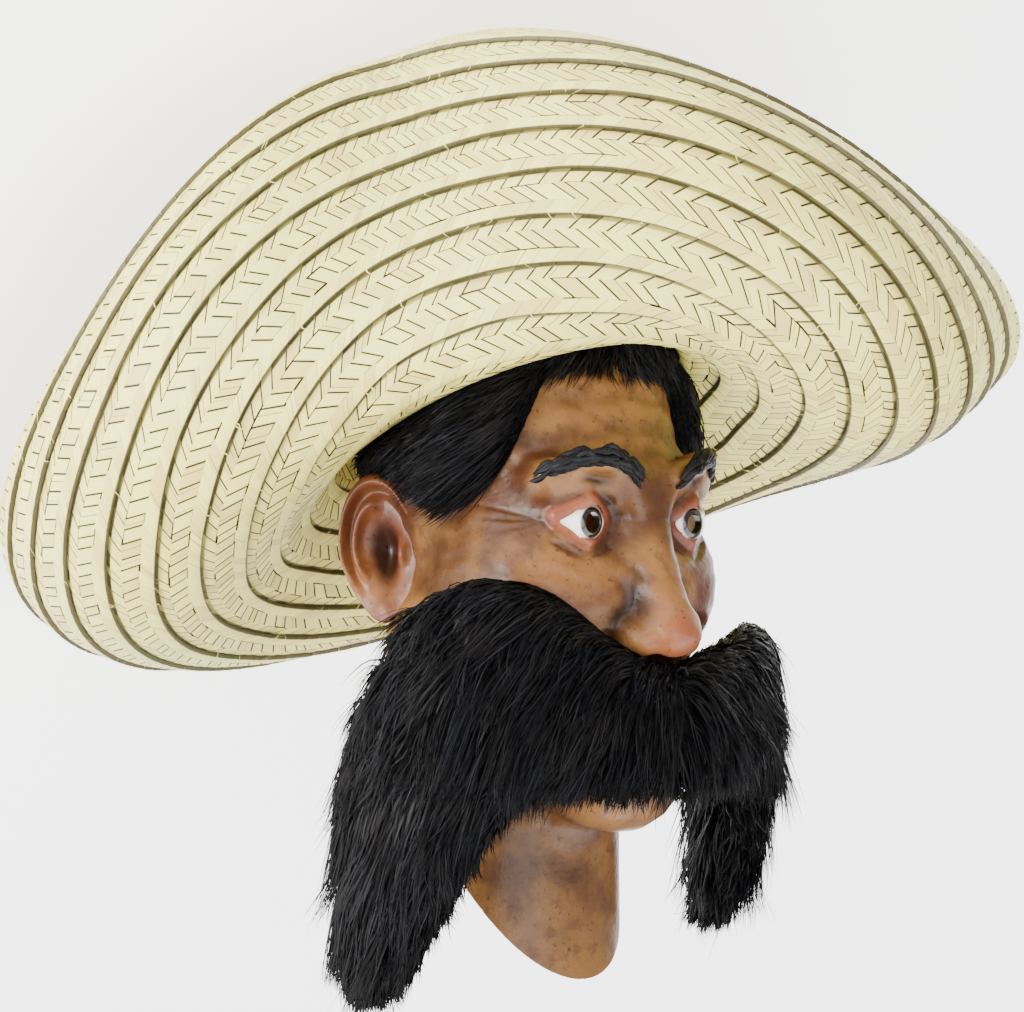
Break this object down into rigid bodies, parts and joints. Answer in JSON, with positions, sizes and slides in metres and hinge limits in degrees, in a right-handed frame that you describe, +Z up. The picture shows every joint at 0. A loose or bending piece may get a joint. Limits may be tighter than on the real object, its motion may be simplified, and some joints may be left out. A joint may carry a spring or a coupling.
{
  "type": "costume head mask with straw hat",
  "caption": "Painted latex head mask open at back and neck, with fur hair, a thick fur moustache and a wide curled straw hat fixed on top.",
  "frame": {"origin": "on the floor, under the middle of the part's outline", "axes": "+Z up; the mask lies on its back on the hat's crown and the back of its brim, chin toward -Y, hat toward +Y, face up and leaning toward +Y"},
  "size_m": [0.533, 0.4796, 0.3942],
  "materials": {
    "straw": "dry pale palm straw braid",
    "latex": "airbrushed glossy latex, pale unpainted inside",
    "fur": "long black faux fur"
  },
  "bodies": {
    "root": {"straw_hat": "straw", "latex_mask": "latex", "fur_hair": "fur", "fur_moustache": "fur"}
  },
  "joints": []
}
